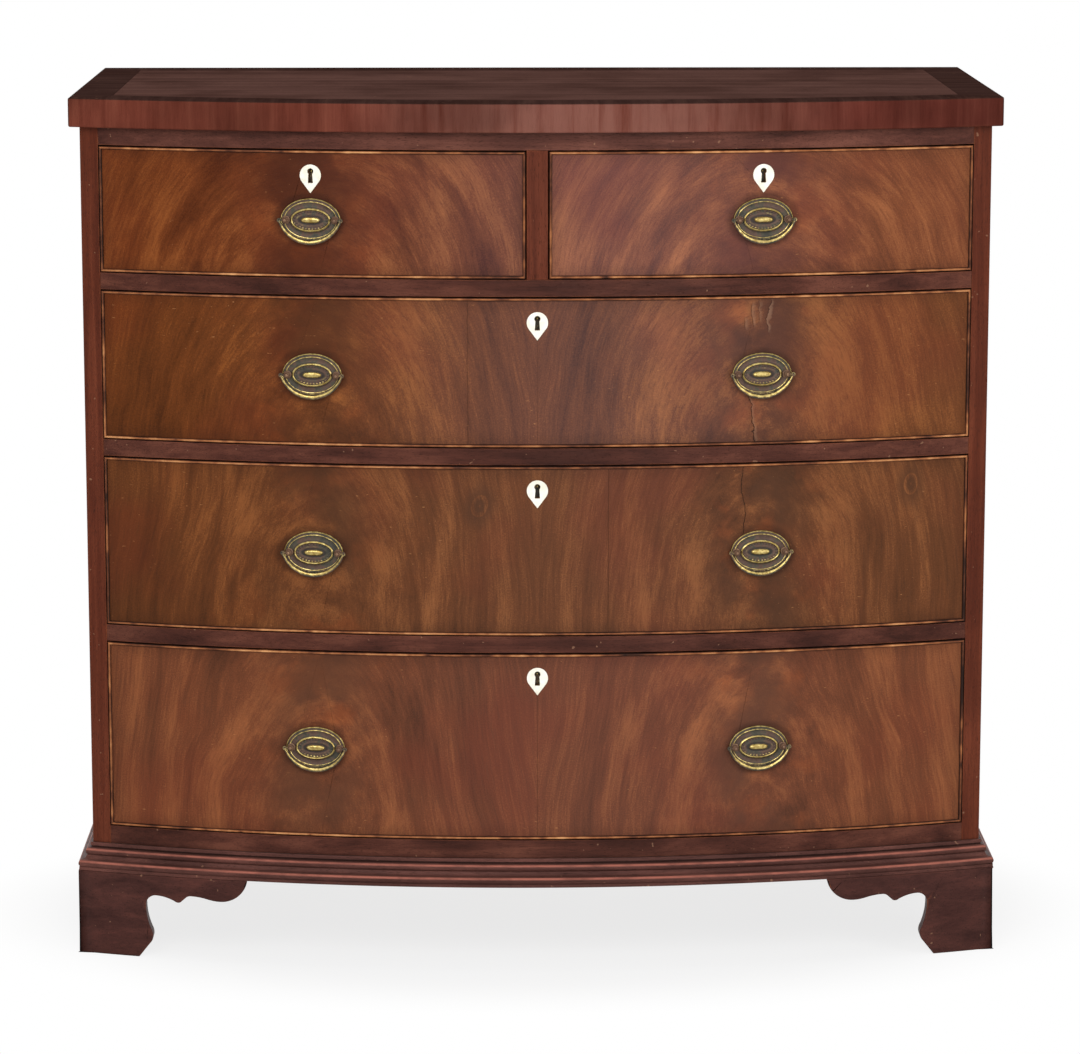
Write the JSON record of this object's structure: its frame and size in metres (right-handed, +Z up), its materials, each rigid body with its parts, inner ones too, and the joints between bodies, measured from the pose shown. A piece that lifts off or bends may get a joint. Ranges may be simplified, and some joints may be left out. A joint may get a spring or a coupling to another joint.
{
  "type": "bow front chest of drawers",
  "caption": "Mahogany chest with a bowed front, short drawers over long graduated drawers, oval brass bail handles, bone keyhole plates and shaped bracket feet.",
  "frame": {"origin": "on the floor under the middle of the chest's bounding box", "axes": "+Z up, -Y out of the bowed front, +X to the viewer's right"},
  "size_m": [1.061, 0.559, 0.9899],
  "materials": {
    "mahogany": "old wax polish over deep red-brown mahogany",
    "mahogany_top": "worn wax polish, crossbanded",
    "drawer_veneer": "polished flame mahogany veneer",
    "cock_bead": "rubbed mahogany bead",
    "oak": "unfinished old oak",
    "pine": "unfinished old pine",
    "bone": "smooth bone",
    "brass": "tarnished pressed brass, rubbed bright on its rims",
    "iron": "dark worn iron"
  },
  "bodies": {
    "carcase": {"top_board": "mahogany_top", "side_left": "mahogany", "side_right": "mahogany", "back_boards": "pine", "dust_boards": "pine", "frieze_rail": "mahogany", "drawer_divider": "mahogany", "upper_rail": "mahogany", "middle_rail": "mahogany", "lower_rail": "mahogany", "bottom_rail": "mahogany", "drawer_runners": "pine", "base_moulding": "mahogany", "foot_front_left": "mahogany", "foot_front_right": "mahogany", "foot_back_left": "mahogany", "foot_back_right": "mahogany"},
    "drawer_short_left": {"short_left_front": "drawer_veneer", "short_left_box": "oak", "short_left_bottom": "oak", "short_left_cock_bead": "cock_bead", "short_left_escutcheon": "bone", "short_left_brassware": "brass"},
    "bolt_short_left": {"short_left_lock_bolt": "iron"},
    "bail_short_left": {"short_left_bail": "brass"},
    "drawer_short_right": {"short_right_front": "drawer_veneer", "short_right_box": "oak", "short_right_bottom": "oak", "short_right_cock_bead": "cock_bead", "short_right_escutcheon": "bone", "short_right_brassware": "brass"},
    "bolt_short_right": {"short_right_lock_bolt": "iron"},
    "bail_short_right": {"short_right_bail": "brass"},
    "drawer_long_upper": {"long_upper_front": "drawer_veneer", "long_upper_box": "oak", "long_upper_bottom": "oak", "long_upper_cock_bead": "cock_bead", "long_upper_escutcheon": "bone", "long_upper_brassware": "brass"},
    "bolt_long_upper": {"long_upper_lock_bolt": "iron"},
    "bail_long_upper_left": {"long_upper_bail_left": "brass"},
    "bail_long_upper_right": {"long_upper_bail_right": "brass"},
    "drawer_long_middle": {"long_middle_front": "drawer_veneer", "long_middle_box": "oak", "long_middle_bottom": "oak", "long_middle_cock_bead": "cock_bead", "long_middle_escutcheon": "bone", "long_middle_brassware": "brass"},
    "bolt_long_middle": {"long_middle_lock_bolt": "iron"},
    "bail_long_middle_left": {"long_middle_bail_left": "brass"},
    "bail_long_middle_right": {"long_middle_bail_right": "brass"},
    "drawer_long_lower": {"long_lower_front": "drawer_veneer", "long_lower_box": "oak", "long_lower_bottom": "oak", "long_lower_cock_bead": "cock_bead", "long_lower_escutcheon": "bone", "long_lower_brassware": "brass"},
    "bolt_long_lower": {"long_lower_lock_bolt": "iron"},
    "bail_long_lower_left": {"long_lower_bail_left": "brass"},
    "bail_long_lower_right": {"long_lower_bail_right": "brass"}
  },
  "joints": [
    {"name": "short_left_slide", "type": "slide", "parent": "carcase", "child": "drawer_short_left", "axis": [0, -1, 0], "range_m": [0, 0.36]},
    {"name": "short_left_bolt_throw", "type": "slide", "parent": "drawer_short_left", "child": "bolt_short_left", "axis": [0, 0, 1], "range_m": [0, 0.007]},
    {"name": "short_left_bail_swing", "type": "hinge", "parent": "drawer_short_left", "child": "bail_short_left", "pos_m": [-0.25336, -0.24904, 0.8579], "axis": [-0.9881, 0.154, 0], "range_deg": [0, 165]},
    {"name": "short_right_slide", "type": "slide", "parent": "carcase", "child": "drawer_short_right", "axis": [0, -1, 0], "range_m": [0, 0.36]},
    {"name": "short_right_bolt_throw", "type": "slide", "parent": "drawer_short_right", "child": "bolt_short_right", "axis": [0, 0, 1], "range_m": [0, 0.007]},
    {"name": "short_right_bail_swing", "type": "hinge", "parent": "drawer_short_right", "child": "bail_short_right", "pos_m": [0.25336, -0.24904, 0.8579], "axis": [-0.9881, -0.154, 0], "range_deg": [0, 165]},
    {"name": "long_upper_slide", "type": "slide", "parent": "carcase", "child": "drawer_long_upper", "axis": [0, -1, 0], "range_m": [0, 0.36]},
    {"name": "long_upper_bolt_throw", "type": "slide", "parent": "drawer_long_upper", "child": "bolt_long_upper", "axis": [0, 0, 1], "range_m": [0, 0.007]},
    {"name": "long_upper_bail_left_swing", "type": "hinge", "parent": "drawer_long_upper", "child": "bail_long_upper_left", "pos_m": [-0.25336, -0.24904, 0.6836], "axis": [-0.9881, 0.154, 0], "range_deg": [0, 165]},
    {"name": "long_upper_bail_right_swing", "type": "hinge", "parent": "drawer_long_upper", "child": "bail_long_upper_right", "pos_m": [0.25336, -0.24904, 0.6836], "axis": [-0.9881, -0.154, 0], "range_deg": [0, 165]},
    {"name": "long_middle_slide", "type": "slide", "parent": "carcase", "child": "drawer_long_middle", "axis": [0, -1, 0], "range_m": [0, 0.36]},
    {"name": "long_middle_bolt_throw", "type": "slide", "parent": "drawer_long_middle", "child": "bolt_long_middle", "axis": [0, 0, 1], "range_m": [0, 0.007]},
    {"name": "long_middle_bail_left_swing", "type": "hinge", "parent": "drawer_long_middle", "child": "bail_long_middle_left", "pos_m": [-0.25336, -0.24904, 0.4808], "axis": [-0.9881, 0.154, 0], "range_deg": [0, 165]},
    {"name": "long_middle_bail_right_swing", "type": "hinge", "parent": "drawer_long_middle", "child": "bail_long_middle_right", "pos_m": [0.25336, -0.24904, 0.4808], "axis": [-0.9881, -0.154, 0], "range_deg": [0, 165]},
    {"name": "long_lower_slide", "type": "slide", "parent": "carcase", "child": "drawer_long_lower", "axis": [0, -1, 0], "range_m": [0, 0.36]},
    {"name": "long_lower_bolt_throw", "type": "slide", "parent": "drawer_long_lower", "child": "bolt_long_lower", "axis": [0, 0, 1], "range_m": [0, 0.007]},
    {"name": "long_lower_bail_left_swing", "type": "hinge", "parent": "drawer_long_lower", "child": "bail_long_lower_left", "pos_m": [-0.25336, -0.24904, 0.2545], "axis": [-0.9881, 0.154, 0], "range_deg": [0, 165]},
    {"name": "long_lower_bail_right_swing", "type": "hinge", "parent": "drawer_long_lower", "child": "bail_long_lower_right", "pos_m": [0.25336, -0.24904, 0.2545], "axis": [-0.9881, -0.154, 0], "range_deg": [0, 165]}
  ]
}
